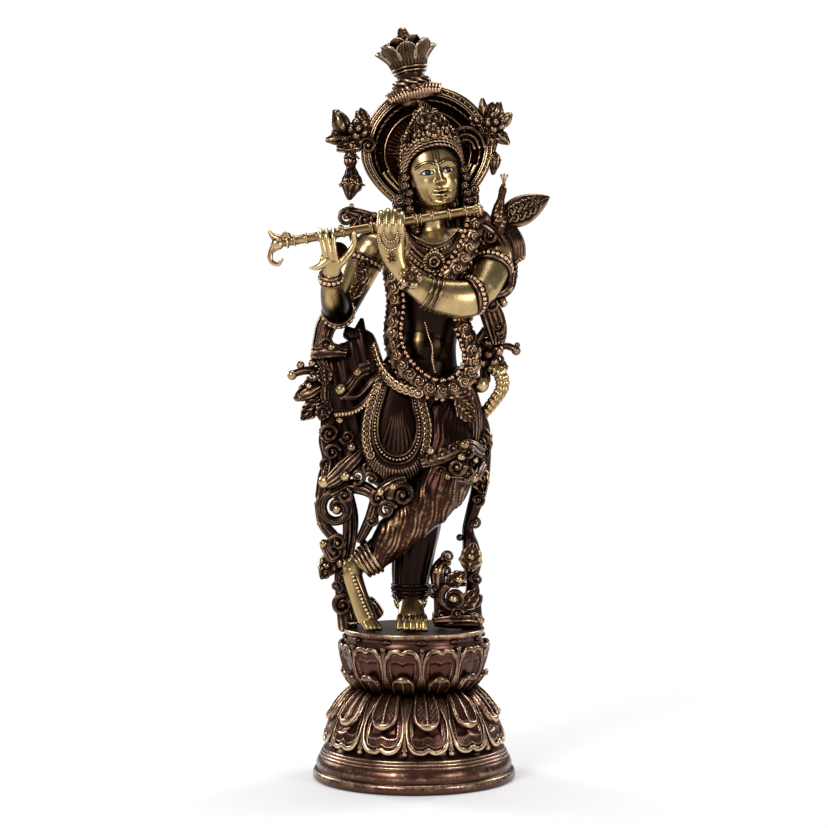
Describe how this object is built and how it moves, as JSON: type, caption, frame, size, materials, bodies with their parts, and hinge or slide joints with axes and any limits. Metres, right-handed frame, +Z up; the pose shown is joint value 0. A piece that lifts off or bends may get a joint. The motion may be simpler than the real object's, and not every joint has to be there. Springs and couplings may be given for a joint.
{
  "type": "krishna figure",
  "caption": "Cast brass figure of a cross-legged flute player under a dished halo, with open scarf and vine work at both sides, on a round double-lotus pedestal.",
  "frame": {"origin": "middle of the pedestal's round underside", "axes": "+Z up along the pedestal's axis, -Y to the figure's front, +X to the figure's left hand side"},
  "size_m": [0.3324, 0.242, 0.8982],
  "materials": {
    "pedestal_brass": "satin red-brown patina, worn to bare gold along the rims of the petals and the plinth's lip",
    "figure_brass": "skin polished to pale gold, dress and ornament in a dark brown patina with coppery worn ridges",
    "flute_brass": "polished pale gold, dark in the grooves"
  },
  "bodies": {
    "root": {"lotus_pedestal": "pedestal_brass", "figure": "figure_brass", "flute": "flute_brass"}
  },
  "joints": []
}
